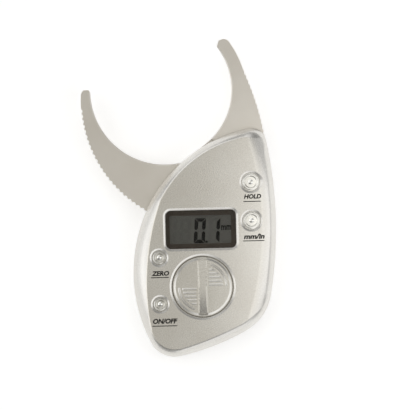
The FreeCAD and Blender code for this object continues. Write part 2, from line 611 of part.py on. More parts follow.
def make_moving_jaw():
    """Left jaw, drawn closed against the fixed jaw and turned open by its placement."""
    body = new_body("moving_jaw")
    hub_x, hub_y = polar("-dims.hub_r", "dims.thumb_edge_dir")
    side_x, side_y = tangent_point("dims.root_x", "dims.root_y", "dims.hub_r", "-")
    sketch = sketch_at(body, "plate_sketch", "dims.jaw_low_z")
    trace(sketch, [
        (hub_x, hub_y, "dims.hub_r"), (side_x, side_y, None), ("dims.root_x", "dims.root_y", "-dims.mouth_r"),
        ("dims.land_low_x", "dims.land_low_y", None), ("dims.land_top_x", "dims.land_top_y", None),
        ("dims.tip_top_x", "dims.tip_top_y", "dims.fixed_tip_r"),
        ("dims.tip_out_x", "dims.tip_out_y", "dims.thumb_edge_r"),
    ])
    plate = pad(body, "plate", sketch, "%s - dims.jaw_low_z" % JAW_TOP)
    bevel = dress(body, "bevel", "Chamfer", plate, "dims.jaw_bevel",
                  lambda e: flat_at(e, value(JAW_TOP)) and is_arc(e, value("dims.mouth_r")))
    body.Tip = bevel
    cut_between(body, "lap", "dims.jaw_low_z", MOVING_LOW, lambda s: add_circle(s, "0", "0", "dims.lap_r"))
    start = Vector(value("dims.tip_out_x"), value("dims.tip_out_y"), 0)
    end = Vector(value(hub_x), value(hub_y), 0)
    notch_cutter(body, "notch", start, end, "dims.thumb_edge_r", "dims.notch_depth", "dims.notch_count",
                 "dims.notch_start", "dims.jaw_low_z", JAW_TOP)
    peg_x, peg_y = polar("dims.peg_arm", "dims.peg_dir")
    pad_between(body, "peg", "dims.peg_low_z", "(%s + dims.run_gap)" % MOVING_LOW,
                lambda s: add_circle(s, peg_x, peg_y, "dims.peg_r"))
    cut_between(body, "bore", MOVING_LOW, JAW_TOP,
                lambda s: add_circle(s, "0", "0", "(dims.pivot_r + dims.run_gap + dims.bush_wall)"))
    body.setExpression("Placement.Rotation.Angle", "dims.closing")


def is_arc(edge, radius):
    return isinstance(edge.Curve, Part.Circle) and abs(edge.Curve.Radius - radius) < 0.01


def make_fixed_jaw():
    """Right jaw: a full plate outside the housing, and a half-thick root round the pivot inside it."""
    body = new_body("fixed_jaw")
    right_x, right_y = tangent_point("dims.tail_low_x", "dims.tail_low_y", "dims.hub_r", "-")
    left_x, left_y = tangent_point("dims.fixed_root_x", "dims.fixed_root_y", "dims.hub_r", "+")
    sketch = sketch_at(body, "plate_sketch", "dims.jaw_low_z")
    trace(sketch, [
        (right_x, right_y, None), ("dims.tail_low_x", "dims.tail_low_y", None),
        ("dims.tail_x", "dims.hip_y", None), ("dims.hip_x", "dims.hip_y", "dims.fixed_back_r"),
        ("dims.fixed_back_x", "dims.fixed_back_y", "dims.fixed_brow_r"),
        ("dims.fixed_brow_x", "dims.fixed_brow_y", "dims.fixed_tip_r"),
        ("dims.fixed_tip_x", "dims.fixed_tip_y", None), ("dims.anvil_top_x", "dims.anvil_top_y", None),
        ("dims.anvil_low_x", "dims.anvil_low_y", "-dims.fixed_mouth_r"),
        ("dims.fixed_root_x", "dims.fixed_root_y", None), (left_x, left_y, "dims.hub_r * " + HALF_TURN),
    ])
    plate = pad(body, "plate", sketch, "%s - dims.jaw_low_z" % JAW_TOP)
    bevel = dress(body, "bevel", "Chamfer", plate, "dims.jaw_bevel",
                  lambda e: flat_at(e, value(JAW_TOP)) and is_arc(e, value("dims.fixed_mouth_r")))
    body.Tip = bevel
    cut_between(body, "lap", FIXED_TOP, JAW_TOP,
                lambda s: add_circle(s, "0", "0", "dims.lap_r + dims.lap_gap"))
    start = Vector(value("dims.hip_x"), value("dims.hip_y"), 0)
    end = Vector(value("dims.fixed_back_x"), value("dims.fixed_back_y"), 0)
    centre = bend_centre(start, end, value("dims.fixed_back_r"))
    first = math.degrees(math.atan2(end.y - centre.y, end.x - centre.x)) - fixed_row_angle()
    notch_cutter(body, "notch", start, end, "dims.fixed_back_r", "dims.fixed_notch_depth",
                 "dims.fixed_notch_count", "%.4f" % first, "dims.jaw_low_z", JAW_TOP)
    cut_between(body, "peg_slot", "dims.jaw_low_z", FIXED_TOP, add_peg_slot)
    cut_between(body, "bore", "dims.jaw_low_z", FIXED_TOP,
                lambda s: add_circle(s, "0", "0", "(dims.pivot_r + dims.run_gap)"))
    hole, sink = "dims.jaw_screw_r + dims.screw_gap", "dims.jaw_head_r + dims.run_gap"
    cut_between(body, "screw_holes", "dims.jaw_low_z", FIXED_TOP,
                lambda s: add_screw_circles(s, "jaw_screw", JAW_SCREWS, hole))
    sinks = cut_between(body, "countersinks", "(%s - dims.jaw_head_t)" % FIXED_TOP, FIXED_TOP,
                        lambda s: add_screw_circles(s, "jaw_screw", JAW_SCREWS, sink))
    sinks.setExpression("TaperAngle", "-atan((dims.jaw_head_r - dims.jaw_screw_r) / dims.jaw_head_t)")
    case_hole = "dims.case_screw_r + dims.screw_gap"
    cut_between(body, "case_hole", "dims.jaw_low_z", JAW_TOP,
                lambda s: add_screw_circles(s, "screw", CASE_SCREWS[:1], case_hole))


def fixed_row_angle():
    """The angle that the fixed jaw's row of scallops covers."""
    pitch = value("dims.notch_pitch / dims.fixed_back_r * 180 / pi")
    return pitch * value("dims.fixed_notch_count")


def add_peg_slot(sketch):
    """Curved slot round the pivot that the moving jaw's peg travels in."""
    half = "(dims.peg_r + dims.peg_play)"
    inner, outer = "(dims.peg_arm - %s)" % half, "(dims.peg_arm + %s)" % half
    shut, wide = "(dims.peg_dir - 1)", "(dims.peg_dir + dims.closing + 1)"
    first, last = polar(inner, shut), polar(outer, shut)
    third, fourth = polar(outer, wide), polar(inner, wide)
    end = half + " * " + HALF_TURN
    trace(sketch, [(*first, end), (*last, outer), (*third, end), (*fourth, "-" + inner)])


# ---------------------------------------------------------------- pivot and spring


def add_profile(corners):
    """A drawing function for an outline of (radius, height) points."""
    return lambda sketch: trace(sketch, [(r, z, None) for r, z in corners])


def make_ring(name, inner, outer, low, high):
    body = new_body(name)
    revolve(body, "ring", add_profile([(inner, low), (outer, low), (outer, high), (inner, high)]))
    return body


def make_pivot_screw():
    body = new_body("pivot_screw")
    head_low = "(%s + dims.run_gap)" % JAW_TOP
    head_top = "(%s + dims.pivot_head_t)" % head_low
    low = "(dims.wall + 2 * dims.fit_gap)"
    revolve(body, "turned", add_profile([
        ("0", low), ("dims.thread_r", low), ("dims.thread_r", "dims.pivot_boss_z"),
        ("dims.pivot_r", "dims.pivot_boss_z"), ("dims.pivot_r", head_low), ("dims.pivot_head_r", head_low),
        ("dims.pivot_head_r", head_top), ("0", head_top),
    ]))
    cut_between(body, "driver_slot", "(%s - dims.pivot_head_t / 2)" % head_top, head_top,
                lambda s: add_box(s, "0", "0", "2 * dims.pivot_head_r + dims.fit_gap", "dims.drive_r"))


def make_pivot_parts():
    """The bush turns with the moving jaw; the washer keeps the two roots apart."""
    thread, shaft = "dims.thread_r", "(dims.pivot_r + dims.run_gap)"
    make_ring("pivot_insert", thread, "(dims.thread_r + dims.insert_wall)", "(dims.wall + dims.fit_gap)",
              "dims.pivot_boss_z")
    make_ring("pivot_bush", shaft, "(%s + dims.bush_wall)" % shaft, MOVING_LOW, JAW_TOP)
    make_ring("thrust_washer", shaft, "dims.washer_r", FIXED_TOP, "(%s + dims.washer_t)" % FIXED_TOP)
    rotor_top = "(%s + dims.rotor_t)" % JAW_TOP
    make_ring("sensor_rotor", "dims.rotor_in_r", "(dims.hub_r - dims.rotor_inset)", JAW_TOP, rotor_top)


def coil_radius():
    return value("dims.pivot_boss_r + dims.coil_gap + dims.wire_r")


def spring_leg_dir():
    """Direction of the spring's upper leg, which leaves the coil tangentially and rests on the peg."""
    off_line = coil_radius() - value("dims.peg_r + dims.wire_r + dims.run_gap")
    lean = math.degrees(math.asin(off_line / value("dims.peg_arm")))
    return value("dims.peg_dir + dims.closing") + lean


def lower_leg():
    """Start of the lower leg on the coil, and its direction away from the coil."""
    start = math.radians(spring_leg_dir() - 90 - 360 * value("dims.coil_turns"))
    foot = Vector(math.cos(start), math.sin(start), 0) * coil_radius()
    return foot, Vector(math.sin(start), -math.cos(start), 0)


def spring_post_spot():
    """The post stands beside the lower leg, on the side that the leg presses on."""
    foot, ahead = lower_leg()
    off = value("dims.wire_r + dims.spring_post_r + dims.run_gap")
    spot = foot + ahead * value("dims.post_reach") + Vector(ahead.y, -ahead.x, 0) * off
    return "%.4f" % spot.x, "%.4f" % spot.y


def on_coil(angle, height):
    turn = math.radians(angle)
    return Vector(math.cos(turn), math.sin(turn), 0) * coil_radius() + UP * height


def make_jaw_spring():
    """Torsion spring: one wire of a leg, arcs that climb round the pivot boss, and a leg, swept once."""
    turns, reach = value("dims.coil_turns"), value("dims.leg_length")
    end = spring_leg_dir() - 90
    arcs = math.ceil(2 * turns)
    step = 360 * turns / arcs
    rise = value("dims.coil_pitch") * turns / arcs
    low = value(SPRING_LOW)
    coil = []
    for i in range(arcs):
        angle, height = end - 360 * turns + i * step, low + i * rise
        points = [on_coil(angle + part * step, height + part * rise) for part in (0, 0.5, 1)]
        coil.append(Part.Arc(*points).toShape())
    foot, top = on_coil(end - 360 * turns, low), on_coil(end, low + arcs * rise)
    out = lower_leg()[1]
    away = math.radians(spring_leg_dir())
    toe, tip = foot + out * reach, top + Vector(math.cos(away), math.sin(away), 0) * reach
    path = Part.Wire([Part.makeLine(toe, foot)] + coil + [Part.makeLine(top, tip)])
    section = Part.Wire(Part.Circle(toe, out, value("dims.wire_r")).toShape())
    feature = doc.addObject("Part::Feature", "jaw_spring")
    feature.Label = "jaw_spring"
    feature.Shape = path.makePipeShell([section], True, True, 0)
    feature.Placement = Placement()


# ---------------------------------------------------------------- display and board


def make_window_lens():
    body = new_body("window_lens")
    pad_between(body, "plate", LENS_SEAT, "(%s + dims.lens_t)" % LENS_SEAT,
                lambda s: add_window(s, "-dims.glue_gap"))


def make_lcd_panel():
    body = new_body("lcd_panel")
    pad_between(body, "glass", "(%s - dims.lcd_t)" % LCD_TOP, LCD_TOP,
                lambda s: add_box(s, "dims.window_x", "dims.window_y", "dims.lcd_w", "dims.lcd_d"))


def make_lcd_frame():
    body = new_body("lcd_frame")

    def draw(sketch):
        for extra in ("dims.lcd_gap", "(dims.lcd_gap + dims.frame_w)"):
            add_box(sketch, "dims.window_x", "dims.window_y", "(dims.lcd_w + 2 * %s)" % extra,
                    "(dims.lcd_d + 2 * %s)" % extra)

    pad_between(body, "frame", BOARD_TOP, CEILING, draw)


def make_contact_strips():
    body = new_body("contact_strips")
    off = "(dims.lcd_d / 2 - dims.strip_inset - dims.strip_w / 2)"

    def draw(sketch):
        for side in ("+", "-"):
            add_box(sketch, "dims.window_x", "(dims.window_y %s %s)" % (side, off),
                    "(dims.lcd_w - 2 * dims.strip_inset)", "dims.strip_w")

    pad_between(body, "strips", BOARD_TOP, "(%s - dims.lcd_t)" % LCD_TOP, draw)


def make_circuit_board():
    """The board follows the housing's outline and is cut away round the bay and the screw bosses."""
    body = new_body("circuit_board")
    pad_between(body, "board", "dims.board_z", BOARD_TOP, lambda s: add_outline(s, "0", "dims.board_inset"))
    cut_between(body, "bay_cut", "dims.board_z", BOARD_TOP,
                lambda s: add_circle(s, "dims.cap_x", "dims.cap_y", BAY_R + " + dims.board_gap"))
    cut_between(body, "boss_cuts", "dims.board_z", BOARD_TOP,
                lambda s: add_screw_circles(s, "screw", CASE_SCREWS, "dims.case_boss_r + dims.board_gap"))
    cut_between(body, "screw_holes", "dims.board_z", BOARD_TOP,
                lambda s: add_screw_circles(s, "board", BOARD_SCREWS, "dims.board_screw_r + dims.screw_gap"))


def make_driver_chip():
    """The chip's resin drop, a low rounded button."""
    body = new_body("driver_chip")
    brow = "(%s + dims.chip_edge_t)" % BOARD_TOP
    revolve(body, "drop", lambda s: trace(s, [
        ("0", BOARD_TOP, None), ("dims.chip_r", BOARD_TOP, None),
        ("dims.chip_r", brow, dome_bend("dims.chip_r", "dims.chip_dome")),
        ("0", brow + " + dims.chip_dome", None),
    ]))
    place(body, "dims.chip_x", "dims.chip_y")


def make_key_switches():
    """Four dome switches on the board, each with a bore that takes its button's stem."""
    body = new_body("key_switches")
    top = "(%s + dims.switch_t)" % BOARD_TOP

    def draw(sketch):
        for key in KEYS:
            add_box(sketch, "dims.%s_x" % key, "dims.%s_y" % key, "dims.switch_w", "dims.switch_w")

    def draw_bores(sketch):
        for key in KEYS:
            add_circle(sketch, "dims.%s_x" % key, "dims.%s_y" % key, "dims.switch_bore_r")

    pad_between(body, "cases", BOARD_TOP, top, draw)
    cut_between(body, "bores", "(%s - dims.switch_bore_depth)" % top, top, draw_bores)


# ---------------------------------------------------------------- buttons


def make_key(key, kind):
    """A push button: stem, flange under the face, bevelled rim, dish and centre dome."""
    body = new_body(key + "_button")
    radius = "dims.%s_key_r" % kind
    switch_top = "(%s + dims.switch_t)" % BOARD_TOP
    flange_top = "(%s - dims.cap_gap)" % CEILING
    flange_low = "(%s - dims.flange_t)" % flange_top
    top = "(dims.face_z + dims.key_rise)"
    dish = "(%s - dims.dish_depth)" % top
    inside, flange_r = "(%s - dims.key_edge - dims.rim_w)" % radius, radius + " + dims.flange_w"
    tip = "(%s - dims.stem_dip)" % switch_top
    revolve(body, "turned", lambda s: trace(s, [
        ("0", tip, None), ("dims.stem_r", tip, None), ("dims.stem_r", flange_low, None),
        (flange_r, flange_low, None), (flange_r, flange_top, None), (radius, flange_top, None),
        (radius, "(%s - dims.key_edge)" % top, None),
        ("(%s - dims.key_edge)" % radius, top, None), (inside, top, None),
        ("(%s - dims.dish_depth)" % inside, dish, None),
        ("dims.key_dome_r", dish, dome_bend("dims.key_dome_r", "dims.key_dome_rise")),
        ("0", "(%s + dims.key_dome_rise)" % dish, None),
    ]))
    place(body, "dims.%s_x" % key, "dims.%s_y" % key)


# ---------------------------------------------------------------- battery cap, cell and contacts


def make_battery_cap():
    """Turn cap: rimmed disc, skirt with two bayonet lugs, arched grip bar and two fields of ribs."""
    body = new_body("battery_cap")
    seat = "(dims.cap_seat_z + dims.run_gap)"
    dish_z = "(%s - dims.cap_dish)" % CAP_TOP
    rim = "(dims.cap_r - dims.cap_edge)"
    revolve(body, "disc", lambda s: trace(s, [
        ("0", seat, None), ("dims.cap_r", seat, None),
        ("dims.cap_r", "(%s - dims.cap_edge)" % CAP_TOP, None), (rim, CAP_TOP, None),
        (rim + " - dims.cap_rim_w", CAP_TOP, None), ("dims.cap_dish_r", dish_z, None), ("0", dish_z, None),
    ]))
    pad_between(body, "skirt", "dims.skirt_z", seat, lambda s: add_circle(s, "0", "0", "dims.skirt_r"))
    cell_top = "(%s + dims.cell_t + dims.run_gap)" % CELL_LOW
    cut_between(body, "cup", "dims.skirt_z", cell_top,
                lambda s: add_circle(s, "0", "0", "(dims.skirt_r - dims.skirt_wall)"))
    inner = "(dims.skirt_r - dims.skirt_wall / 2)"

    outer = "(dims.skirt_r + dims.lug_w)"

    def lugs(sketch):
        for direction in ("dims.lug_dir", "(dims.lug_dir + 180)"):
            add_sector(sketch, "0", "0", inner, outer, direction, "dims.lug_half_angle")

    pad_between(body, "lugs", "dims.lug_z", "(dims.lug_z + dims.lug_t)", lugs)
    root = "(%s - dims.run_gap)" % dish_z
    ribs = pad_between(body, "ribs", root, "(%s + dims.rib_t)" % dish_z, add_ribs)
    ribs.setExpression("TaperAngle", "-atan(dims.rib_slope / (dims.rib_t + dims.run_gap))")
    add_grip_bar(body, root)
    place(body, "dims.cap_x", "dims.cap_y")


def add_grip_bar(body, foot):
    """The bar's sides lean in towards its crown, and the crown is cut to an arch along its length."""
    sketch = sketch_at(body, "bar_sketch", None, "XZ_Plane")
    wide, narrow = "(dims.bar_w / 2)", "(dims.bar_crown_w / 2)"
    trace(sketch, [("-" + wide, foot, None), (wide, foot, None), (narrow, "dims.bar_top_z", None),
                   ("-" + narrow, "dims.bar_top_z", None)])
    bar = pad(body, "bar", sketch, "dims.bar_l")
    bar.Midplane = True
    sketch = sketch_at(body, "bar_arch_sketch", None, "YZ_Plane")
    half, over = "(dims.bar_l / 2)", "(dims.bar_top_z + dims.bar_w)"
    bend = dome_bend(half, "(dims.bar_top_z - dims.bar_end_z)")
    trace(sketch, [("-" + half, "dims.bar_end_z", "-(%s)" % bend), (half, "dims.bar_end_z", None),
                   (half, over, None), ("-" + half, over, None)])
    arch = cut(body, "bar_arch", sketch, "dims.bar_w")
    arch.Midplane = True


def add_ribs(sketch):
    """Straight ribs in two opposite quarters, cut to one arc at their outer ends, and a ridge round them."""
    near, reach = "(dims.bar_w / 2 + dims.rib_gap)", "dims.rib_reach"
    spaces = value("(sqrt(%s ^ 2 - %s ^ 2) - dims.rib_first - dims.rib_w) / dims.rib_pitch" % (reach, near))
    for side in ("", "-"):
        for step in range(int(spaces) + 1):
            low = "(dims.rib_first + %d * dims.rib_pitch)" % step
            high = "(%s + dims.rib_w)" % low
            far_low, far_high = ["sqrt(%s ^ 2 - %s ^ 2)" % (reach, y) for y in (low, high)]
            trace(sketch, [
                (side + near, side + low, None), (side + far_low, side + low, reach),
                (side + far_high, side + high, None), (side + near, side + high, None),
            ])
    for direction in ("dims.ridge_dir", "(dims.ridge_dir + 180)"):
        add_sector(sketch, "0", "0", "dims.ridge_r", "(dims.ridge_r + dims.ridge_w)", direction,
                   "dims.ridge_half_angle")


def make_coin_cell():
    body = new_body("coin_cell")
    low, top = CELL_LOW, "(%s + dims.cell_t)" % CELL_LOW
    step, edge = "(%s + dims.cell_base_t)" % low, "(dims.cell_r - dims.cell_base_t)"
    revolve(body, "can", add_profile([
        ("0", low), ("dims.cell_base_r", low), ("dims.cell_base_r", step), (edge, step),
        ("dims.cell_r", "(%s + dims.cell_base_t)" % step), ("dims.cell_r", "(%s - dims.cell_base_t)" % top),
        (edge, top), ("0", top),
    ]))
    place(body, "dims.cap_x", "dims.cap_y")


def make_contacts():
    """The spring contact runs under the cell to the board; the side contact's tab stands by the can."""
    floor, strip_top = "dims.bay_floor_z", "(dims.bay_floor_z + dims.strip_t)"
    body = new_body("cell_spring_contact")
    long = "(dims.contact_reach + dims.strip_wide)"
    pad_between(body, "strip", floor, strip_top,
                lambda s: add_box(s, "0", "(dims.contact_reach - %s / 2)" % long, "dims.strip_wide", long))
    pad_between(body, "bump", floor, CELL_LOW, lambda s: add_circle(s, "0", "0", "dims.bump_r"))
    place(body, "dims.cap_x", "dims.cap_y")
    body = new_body("cell_side_contact")
    near = "(dims.cell_r + dims.run_gap / 2)"
    run = "(dims.contact_reach - %s)" % near
    pad_between(body, "strip", floor, strip_top,
                lambda s: add_box(s, "(-dims.contact_reach + %s / 2)" % run, "0", run, "dims.strip_wide"))
    pad_between(body, "tab", floor, "(dims.groove_z - dims.cap_gap)",
                lambda s: add_box(s, "(-%s - dims.tab_t / 2)" % near, "0", "dims.tab_t", "dims.strip_wide"))
    place(body, "dims.cap_x", "dims.cap_y")


# ---------------------------------------------------------------- screws


def make_case_screws():
    body = new_body("case_screws")
    head_top = "(dims.case_head_z + dims.case_head_t)"
    pad_between(body, "heads", "dims.case_head_z", head_top,
                lambda s: add_screw_circles(s, "screw", CASE_SCREWS, "dims.case_head_r"))
    pad_between(body, "shanks", head_top, "dims.case_screw_top_z",
                lambda s: add_screw_circles(s, "screw", CASE_SCREWS, "dims.case_screw_r"))
    sketch = sketch_at(body, "drive_sketch", "dims.case_head_z")
    for name in CASE_SCREWS:
        x, y = "dims.screw_%s_x" % name, "dims.screw_%s_y" % name
        add_box(sketch, x, y, "2 * dims.drive_r", "dims.drive_r / 2")
    cut(body, "drives", sketch, "dims.drive_depth", upward=True)


def make_board_screws():
    body = new_body("board_screws")
    pad_between(body, "heads", "(dims.board_z - dims.board_head_t)", "dims.board_z",
                lambda s: add_screw_circles(s, "board", BOARD_SCREWS, "dims.board_head_r"))
    pad_between(body, "shanks", "dims.board_z", "(%s + dims.board_screw_l)" % BOARD_TOP,
                lambda s: add_screw_circles(s, "board", BOARD_SCREWS, "dims.board_screw_r"))


def make_jaw_screws():
    body = new_body("jaw_screws")
    neck = "(%s - dims.jaw_head_t)" % FIXED_TOP
    pad_between(body, "shanks", "dims.jaw_screw_low_z", neck,
                lambda s: add_screw_circles(s, "jaw_screw", JAW_SCREWS, "dims.jaw_screw_r"))
    heads = pad_between(body, "heads", neck, FIXED_TOP,
                        lambda s: add_screw_circles(s, "jaw_screw", JAW_SCREWS, "dims.jaw_screw_r"))
    heads.setExpression("TaperAngle", "atan((dims.jaw_head_r - dims.jaw_screw_r) / dims.jaw_head_t)")


# ---------------------------------------------------------------- build, test and write


CUTTERS = ("PartDesign::Pocket", "PartDesign::Groove", "PartDesign::SubtractiveLoft")


def check_document():
    """Every object has to be sound, and every cutter has to have taken something away."""
    for item in doc.Objects:
        bad = [state for state in item.State if state in ("Invalid", "Error")]
        if bad:
            raise RuntimeError("%s is %s: %s" % (item.Name, bad, item.getStatusString()))
        if item.TypeId in CUTTERS and item.BaseFeature.Shape.Volume - item.Shape.Volume < 0.001:
            raise RuntimeError(item.Name + " cuts nothing")


def write_parts():
    os.makedirs("parts", exist_ok=True)
    nodes = [item for item in doc.Objects if item.TypeId in ("PartDesign::Body", "Part::Feature")]
    for node in nodes:
        if node.Shape.isNull() or not node.Shape.isValid():
            raise RuntimeError(node.Label + " has no valid shape")
    for node in nodes:
        node.Shape.exportStep("parts/%s.step" % node.Label)
        print("%-20s %d solids %9.1f mm3" % (node.Label, len(node.Shape.Solids), node.Shape.Volume))


make_front_cover()
make_back_cover()
make_fixed_jaw()
make_moving_jaw()
make_pivot_screw()
make_pivot_parts()
make_jaw_spring()
make_window_lens()
make_lcd_panel()
make_lcd_frame()
make_contact_strips()
make_circuit_board()
make_driver_chip()
make_key_switches()
for key_name, key_kind in KEYS.items():
    make_key(key_name, key_kind)
make_battery_cap()
make_coin_cell()
make_contacts()
make_case_screws()
make_board_screws()
make_jaw_screws()
doc.recompute()
check_document()
write_parts()
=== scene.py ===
# %% [markdown]
# # A digital skinfold caliper
# The real tool is a drop-shaped silver housing with a display, four small keys and a coin-cell cap. One jaw stands
# still in the housing, the other swings about a screw under the housing's face, so that a fold of skin fits between.
# The exact solids come ready as the frame. This lesson gives them their finishes, adds the printed words and the
# display's figures, and sets up the light and the camera.

# %% The frame
import math

import bpy
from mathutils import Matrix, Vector


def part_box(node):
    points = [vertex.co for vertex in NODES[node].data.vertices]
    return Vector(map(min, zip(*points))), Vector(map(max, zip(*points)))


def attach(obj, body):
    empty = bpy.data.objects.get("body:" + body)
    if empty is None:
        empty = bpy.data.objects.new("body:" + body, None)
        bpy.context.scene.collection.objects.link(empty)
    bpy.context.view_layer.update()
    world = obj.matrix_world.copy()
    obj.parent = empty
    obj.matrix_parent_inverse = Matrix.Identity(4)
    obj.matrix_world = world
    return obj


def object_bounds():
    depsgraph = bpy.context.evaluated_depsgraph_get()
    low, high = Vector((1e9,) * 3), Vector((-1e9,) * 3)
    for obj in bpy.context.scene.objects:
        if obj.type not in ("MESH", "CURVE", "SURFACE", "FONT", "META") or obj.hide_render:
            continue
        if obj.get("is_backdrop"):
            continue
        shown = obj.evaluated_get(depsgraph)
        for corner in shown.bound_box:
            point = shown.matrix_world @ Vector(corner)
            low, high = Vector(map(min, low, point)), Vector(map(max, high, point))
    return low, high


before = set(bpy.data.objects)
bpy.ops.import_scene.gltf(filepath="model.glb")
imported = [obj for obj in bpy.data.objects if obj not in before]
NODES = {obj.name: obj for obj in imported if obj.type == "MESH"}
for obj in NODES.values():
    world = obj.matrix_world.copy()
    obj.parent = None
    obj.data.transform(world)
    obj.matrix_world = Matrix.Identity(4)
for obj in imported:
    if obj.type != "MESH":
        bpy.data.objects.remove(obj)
CAD_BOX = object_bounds()
MM = 0.001  # the frame is in metres, the pieces of this tool are thought of in millimetres

# %% [markdown]
# Every finish below starts from one Principled shader, because it covers paint, plating, plastic and glass, and it
# survives an export. A few small helpers keep the node work short: one adds a node with its settings, one makes a
# noise whose grain is given in millimetres, since a finish looks real only at its real scale, and one turns such a
# noise into a relief.


# %% Helpers for finishes
FINISHES = {}


def add(tree, kind, inputs=None, **settings):
    """A node of this kind. Each input is a value, or another node's output to join to."""
    made = tree.nodes.new("ShaderNode" + kind)
    for name, value in settings.items():
        setattr(made, name, value)
    for name, value in (inputs or {}).items():
        if hasattr(value, "is_output"):
            tree.links.new(value, made.inputs[name])
        else:
            made.inputs[name].default_value = value
    return made


def linear(red, green, blue):
    """A screen colour of 0 to 255 as the linear colour that a shader takes."""
    def one(level):
        share = level / 255
        return share / 12.92 if share <= 0.04045 else ((share + 0.055) / 1.055) ** 2.4
    return (one(red), one(green), one(blue), 1.0)


def new_finish(name, **inputs):
    """A new material, kept by name, with these values on its shader's own sockets."""
    material = bpy.data.materials.new(name)
    material.use_nodes = True
    shader = material.node_tree.nodes["Principled BSDF"]
    for key, value in inputs.items():
        shader.inputs[key.replace("_", " ")].default_value = value
    FINISHES[name] = material
    return material.node_tree, shader


def grain(tree, size, detail=3.0, stretch=(1, 1, 1), shift=0.0):
    """A noise from 0 to 1 whose patches are about size millimetres across."""
    place = add(tree, "TexCoord")
    mapping = add(tree, "Mapping", {"Vector": place.outputs["Object"], "Location": (shift, shift, shift),
                                    "Scale": stretch})
    noise = add(tree, "TexNoise", {"Vector": mapping.outputs["Vector"], "Scale": 1 / (size * MM), "Detail": detail})
    return noise.outputs["Fac"]


def spread(tree, value, low, high, start=0.3, end=0.7):
    """The value's range from start to end, laid out from low to high."""
    ramp = add(tree, "MapRange", {"Value": value, "From Min": start, "From Max": end, "To Min": low, "To Max": high})
    return ramp.outputs["Result"]


def tint(tree, share, first, second):
    """A colour between first and second by share. Either may be another node's output."""
    return add(tree, "Mix", {0: share, 6: first, 7: second}, data_type="RGBA").outputs[2]


def raised(tree, shader, height, depth, strength):
    """A height pattern as a relief, depth millimetres deep."""
    bump = add(tree, "Bump", {"Height": height, "Distance": depth * MM, "Strength": strength})
    tree.links.new(bump.outputs["Normal"], shader.inputs["Normal"])


print("helpers ready")

# %% [markdown]
# The housing, the jaws and the cap are moulded plastic under a satin silver paint. Real metallic paint is a warm grey
# binder with thousands of tiny flakes that lie almost flat, so it is brighter towards a light than plain grey, but
# never a mirror. A metal with a middling roughness gives that, a fine noise tilts it like flakes, a larger and much
# weaker noise keeps broad faces from looking printed, and a thin clear coat adds the soft second gloss. In every
# narrow gap round the keys and the cap the colour is darkened, as painted shade. An ambient occlusion node with a
# short reach finds each such gap by itself, so no gap has to be painted by hand.


# %% Satin silver paint
CLOUD, FLAKE = 14, 0.16          # how large the paint's clouds and its flakes are, in millimetres
FLAKE_SHIFT = 3.1                # keeps the flakes' noise clear of the clouds'
GAP_REACH = 0.9                  # how far from its walls a gap is felt, in millimetres
GAP_SHUT, GAP_OPEN = 0.12, 0.50  # how open a place is, of 1, where the painted shade is darkest and where it ends


def silver_paint(name, light, dark, roughness, gap_shade=None):
    tree, shader = new_finish(name, Metallic=0.82, Coat_Weight=0.25, Coat_Roughness=0.22)
    clouds = grain(tree, CLOUD, detail=2)
    flakes = grain(tree, FLAKE, detail=1, shift=FLAKE_SHIFT)
    paint = tint(tree, spread(tree, clouds, 0, 1), linear(*dark), linear(*light))
    # painted shade: in every narrow gap that the occlusion node finds, the colour is darkened towards the given dark
    # colour
    if gap_shade:
        openness = add(tree, "AmbientOcclusion", {"Distance": GAP_REACH * MM}, samples=16).outputs["AO"]
        paint = tint(tree, spread(tree, openness, 0, 1, start=GAP_SHUT, end=GAP_OPEN), linear(*gap_shade), paint)
    tree.links.new(paint, shader.inputs["Base Color"])
    tree.links.new(spread(tree, flakes, roughness - 0.02, roughness + 0.02), shader.inputs["Roughness"])
    raised(tree, shader, flakes, 0.002, 0.06)


# the last colour of the shell and of the cap is their painted shade in every narrow gap
silver_paint("silver_shell", (222, 220, 215), (217, 214, 208), 0.27, gap_shade=(96, 92, 84))
silver_paint("silver_jaw", (229, 225, 218), (224, 219, 211), 0.38)
silver_paint("silver_cap", (220, 218, 212), (213, 210, 203), 0.26, gap_shade=(84, 80, 72))
print("paints", list(FINISHES))

# %% [markdown]
# The four keys are plated plastic: a bright, slightly blurred mirror with faint polishing marks. Full metal with a
# low roughness is all that plating needs. The marks are a noise that is drawn out along one direction.

# %% Plated keys
tree, shader = new_finish("plated_key", Metallic=1.0, Base_Color=linear(230, 229, 225))
marks = grain(tree, 0.5, detail=4, stretch=(1, 6, 1))
tree.links.new(spread(tree, marks, 0.10, 0.22), shader.inputs["Roughness"])
raised(tree, shader, marks, 0.003, 0.3)
print("plated_key ready")

# %% [markdown]
# The window is clear acrylic. Such windows are often coated so that they reflect little, and the display under them
# stays easy to read. On a clear shader only the refraction sets how much is reflected, so it is set lower than that
# of bare acrylic, with a trace of surface ripple.

# %% Window
tree, shader = new_finish("clear_window", Base_Color=(1, 1, 1, 1), Transmission_Weight=1.0, IOR=1.22)
ripple = grain(tree, 6, detail=1)
tree.links.new(spread(tree, ripple, 0.01, 0.05), shader.inputs["Roughness"])
raised(tree, shader, ripple, 0.01, 0.2)
print("clear_window ready")

# %% [markdown]
# The display under the window is a dark grey-green glass cell with a dull rear foil, so it has a fine mottle and
# hardly any gloss. One recipe is enough for it and for most finishes that follow: two close tones in small patches,
# with a roughness and a very low relief that follow the same patches, as on real moulded, printed or worked surfaces.


# %% Display
def mottled(name, light, dark, roughness, size, depth, strength=0.4, detail=4, stretch=(1, 1, 1), **inputs):
    """Two tones in patches of this size in millimetres, a roughness from low to high, and a relief."""
    tree, shader = new_finish(name, **inputs)
    skin = grain(tree, size, detail=detail, stretch=stretch)
    tree.links.new(tint(tree, spread(tree, skin, 0, 1), linear(*dark), linear(*light)), shader.inputs["Base Color"])
    tree.links.new(spread(tree, skin, *roughness), shader.inputs["Roughness"])
    raised(tree, shader, skin, depth, strength)


mottled("display_glass", (99, 98, 93), (92, 92, 87), (0.30, 0.42), 0.35, 0.004, strength=0.3, detail=2,
        Specular_IOR_Level=0.05)
print("display_glass ready")

